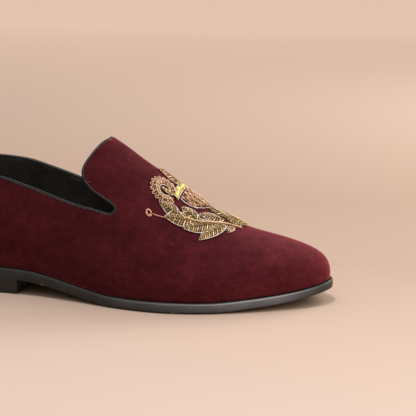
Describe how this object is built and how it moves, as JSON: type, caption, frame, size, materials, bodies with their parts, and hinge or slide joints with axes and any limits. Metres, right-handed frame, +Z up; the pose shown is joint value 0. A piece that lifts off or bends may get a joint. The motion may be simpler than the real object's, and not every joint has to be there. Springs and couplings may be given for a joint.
{
  "type": "embroidered velvet loafer",
  "caption": "Slip-on velvet loafer with a leather-bound topline, raised metal-thread embroidery on the vamp, a thin rubber sole and a low heel.",
  "frame": {"origin": "on the floor, under the middle of the shoe's box", "axes": "+X to the toe, +Y to the inner (medial) side, +Z up"},
  "size_m": [0.306, 0.106, 0.1153],
  "materials": {
    "velvet": "short-pile wine-red velvet with a soft sheen",
    "sole_rubber": "satin black moulded rubber with a burnished edge",
    "sock_leather": "matt black smooth leather",
    "binding_leather": "satin black leather strip",
    "gold_thread": "coiled antique-gold metal thread over padding"
  },
  "bodies": {
    "root": {"outsole": "sole_rubber", "heel": "sole_rubber", "insole": "sock_leather", "upper": "velvet", "topline_binding": "binding_leather", "embroidery_coronet": "gold_thread", "embroidery_boss": "gold_thread", "embroidery_tail": "gold_thread", "embroidery_lateral_spray": "gold_thread", "embroidery_medial_spray": "gold_thread"}
  },
  "joints": []
}
